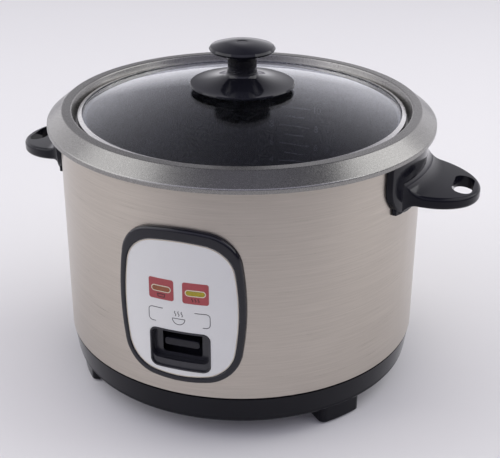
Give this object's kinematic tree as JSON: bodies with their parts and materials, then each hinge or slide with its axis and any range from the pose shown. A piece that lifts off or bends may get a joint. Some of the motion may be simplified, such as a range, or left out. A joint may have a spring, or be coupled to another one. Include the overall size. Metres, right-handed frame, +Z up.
{
  "type": "rice cooker",
  "caption": "Drum rice cooker with a domed glass lid, lift-out pot, side handles, front panel with lamps and a press-down lever over a heating plate.",
  "frame": {"origin": "on the floor under the middle of the drum", "axes": "+Z up along the drum's axis, -Y towards the panel, +X towards the right handle"},
  "size_m": [0.3326, 0.2666, 0.2363],
  "materials": {
    "black_plastic": "satin black",
    "rubber": "matt",
    "inner_steel": "zinc plated",
    "screw_steel": "nickel plated",
    "wall_steel": "fine brushing round the drum",
    "liner_steel": "plain sheet",
    "cast_aluminium": "machined top",
    "element_steel": "oxidised",
    "sensor_aluminium": "drawn",
    "spring_steel": "wire",
    "magnet_ferrite": "sintered",
    "switch_plastic": "black",
    "switch_case": "brown moulding",
    "button_plastic": "red",
    "fuse_ceramic": "white",
    "bezel_plastic": "black",
    "plate_plastic": "pale, slightly satin",
    "amber_lens": "tinted",
    "green_lens": "tinted",
    "holder_plastic": "white",
    "bulb_glass": "clear",
    "handle_plastic": "black",
    "socket_plastic": "black",
    "pin_brass": "plain",
    "pot_coating": "speckled grey non-stick coating on aluminium",
    "lid_glass": "clear",
    "band_chrome": "bright",
    "knob_plastic": "black",
    "gasket_rubber": "silicone"
  },
  "bodies": {
    "cooker": {"base_tray": "black_plastic", "foot_pads": "rubber", "base_posts": "inner_steel", "base_screws": "screw_steel", "outer_shell": "wall_steel", "inner_liner": "liner_steel", "heating_plate": "cast_aluminium", "heating_element": "element_steel", "plate_screws": "screw_steel", "sensor_housing": "inner_steel", "sensor_spring": "spring_steel", "lever_bracket": "inner_steel", "lever_pin": "screw_steel", "microswitch": "switch_case", "warm_thermostat": "switch_case", "thermal_fuse": "fuse_ceramic", "fuse_holder": "inner_steel", "panel_bezel": "bezel_plastic", "panel_plate": "plate_plastic", "cook_lens": "amber_lens", "warm_lens": "green_lens", "switch_frame": "switch_plastic", "lamp_holder": "holder_plastic", "lamp_bulbs": "bulb_glass", "handle_right": "handle_plastic", "handle_left": "handle_plastic", "handle_screws": "screw_steel", "inlet_socket": "socket_plastic", "inlet_pins": "pin_brass"},
    "inner_pot": {"inner_pot": "pot_coating"},
    "lid": {"lid_glass": "lid_glass", "lid_band": "band_chrome", "knob_flange": "knob_plastic", "knob_cap": "knob_plastic", "knob_gasket": "gasket_rubber", "knob_washer": "screw_steel", "knob_screw": "screw_steel"},
    "cook_lever": {"lever_arm": "inner_steel", "lever_knob": "switch_plastic"},
    "magnet": {"magnet": "magnet_ferrite", "magnet_rod": "inner_steel"},
    "sensor": {"sensor_cap": "sensor_aluminium"},
    "switch_button": {"switch_button": "button_plastic"}
  },
  "joints": [
    {"name": "pot_lift", "type": "slide", "parent": "cooker", "child": "inner_pot", "axis": [0, 0, 1], "range_m": [0, 0.13]},
    {"name": "lid_lift", "type": "slide", "parent": "inner_pot", "child": "lid", "axis": [0, 0, 1], "range_m": [0, 0.09]},
    {"name": "switch_press", "type": "hinge", "parent": "cooker", "child": "cook_lever", "pos_m": [0, -0.065, 0.03], "axis": [1, 0, 0], "range_deg": [0, 4.6]},
    {"name": "magnet_rise", "type": "slide", "parent": "cooker", "child": "magnet", "axis": [0, 0, 1], "range_m": [0, 0.00525]},
    {"name": "button_push", "type": "slide", "parent": "cooker", "child": "switch_button", "axis": [0, 0, 1], "range_m": [0, 0.0015]},
    {"name": "sensor_rise", "type": "slide", "parent": "cooker", "child": "sensor", "axis": [0, 0, 1], "range_m": [0, 0.0035], "deforming": ["sensor_spring"]}
  ],
  "couplings": [
    {"joint": "magnet_rise", "follows": "switch_press", "m_per_rad": 0.065},
    {"joint": "button_push", "follows": "switch_press", "m_per_rad": 0.018},
    {"joint": "sensor_rise", "follows": "pot_lift", "ratio": 0.0268}
  ]
}
